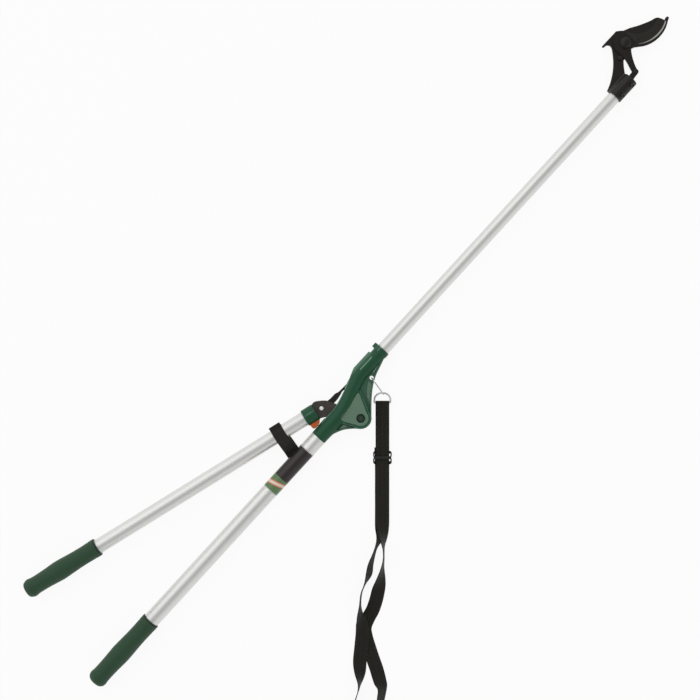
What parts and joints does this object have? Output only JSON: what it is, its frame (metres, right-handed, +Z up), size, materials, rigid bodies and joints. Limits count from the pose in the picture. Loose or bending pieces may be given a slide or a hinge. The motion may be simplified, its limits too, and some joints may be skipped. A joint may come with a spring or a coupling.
{
  "type": "tree pruner pole",
  "caption": "Long-reach bypass pruner: a squeeze lever beside a fixed handle works a hooked blade at the far end of a slim pole, with a carrying strap.",
  "frame": {"origin": "lever pivot axis, on the surface the tool lies on, at the flat of the pivot bolt's head", "axes": "+X along the pole to the cutting head, +Y to the lever's side, +Z up, away from the surface"},
  "size_m": [1.4941, 0.6186, 0.034],
  "materials": {
    "black_steel": "satin black, baked on",
    "coated_blade": "dark low-friction coating, ground edge bright",
    "pole_aluminium": "satin anodised",
    "bright_steel": "zinc plated",
    "guide_plastic": "plain",
    "housing_green": "fine moulded grain",
    "inlay_green": "fine moulded grain",
    "grip_green": "soft matt grip",
    "label_film": "printed film",
    "bumper_orange": "soft matt",
    "black_webbing": "woven",
    "black_plastic": "moulded"
  },
  "bodies": {
    "frame": {"head_collar": "black_steel", "hook_plate": "black_steel", "weld_beads": "black_steel", "stop_pin": "black_steel", "blade_pivot_bolt": "black_steel", "blade_pivot_washer": "black_steel", "blade_pivot_nut": "black_steel", "collar_screws": "black_steel", "upper_pole": "pole_aluminium", "rod_guides": "guide_plastic", "housing_front": "housing_green", "housing_back": "housing_green", "inlay_front": "inlay_green", "inlay_back": "inlay_green", "fin_panel_front": "inlay_green", "fin_panel_back": "inlay_green", "lever_pivot_bolt": "black_steel", "lever_pivot_washer": "bright_steel", "lever_pivot_nut": "black_steel", "pivot_bush": "bright_steel", "housing_screws": "black_steel", "fixed_tube": "pole_aluminium", "fixed_tube_pins": "bright_steel", "fixed_grip": "grip_green", "tube_label": "label_film"},
    "lever": {"lever_tube": "pole_aluminium", "lever_grip": "grip_green", "lever_ferrule": "housing_green", "lever_arm_front": "black_steel", "lever_arm_back": "black_steel", "arm_spacer": "bright_steel", "arm_rivets": "bright_steel", "arm_pin": "bright_steel", "bumper": "bumper_orange", "link_rivet": "bright_steel", "keeper_strap": "black_webbing"},
    "drive_link": {"drive_link": "black_steel"},
    "pull_rod": {"pull_rod": "bright_steel", "rod_yoke": "bright_steel", "yoke_pin": "bright_steel", "rod_end": "bright_steel", "rod_end_pin": "bright_steel"},
    "blade": {"blade": "coated_blade", "tail_pin": "black_steel"},
    "clevis": {"clevis": "black_steel"},
    "strap": {"strap_link": "bright_steel", "d_ring": "bright_steel", "webbing": "black_webbing"},
    "adjuster": {"strap_adjuster": "black_plastic"}
  },
  "joints": [
    {"name": "lever_swing", "type": "hinge", "parent": "frame", "child": "lever", "pos_m": [0, 0, 0.017], "axis": [0, 0, -1], "range_deg": [0, 30]},
    {"name": "link_swing", "type": "hinge", "parent": "lever", "child": "drive_link", "pos_m": [-0.03265, 0.06041, 0.017], "axis": [0, 0, 1], "range_deg": [0, 23]},
    {"name": "rod_slide", "type": "slide", "parent": "frame", "child": "pull_rod", "axis": [1, 0, 0], "range_m": [0, 0.0323]},
    {"name": "blade_swing", "type": "hinge", "parent": "frame", "child": "blade", "pos_m": [0.7745, 0.099, 0.017], "axis": [0, 0, 1], "range_deg": [0, 36]},
    {"name": "clevis_swing", "type": "hinge", "parent": "blade", "child": "clevis", "pos_m": [0.749, 0.0532, 0.017], "axis": [0, 0, -1], "range_deg": [0, 55.5]},
    {"name": "strap_swing", "type": "hinge", "parent": "frame", "child": "strap", "pos_m": [0.063, 0.0326, 0.017], "axis": [0, 0, 1], "range_deg": [0, 60]},
    {"name": "adjuster_slide", "type": "slide", "parent": "strap", "child": "adjuster", "axis": [-0.7373, -0.6756, 0], "range_m": [0, 0.07]}
  ],
  "couplings": [
    {"joint": "link_swing", "follows": "lever_swing", "ratio": 0.7627},
    {"joint": "rod_slide", "follows": "lever_swing", "m_per_rad": 0.06142},
    {"joint": "blade_swing", "follows": "lever_swing", "ratio": 1.1964},
    {"joint": "clevis_swing", "follows": "lever_swing", "ratio": 1.8436}
  ]
}
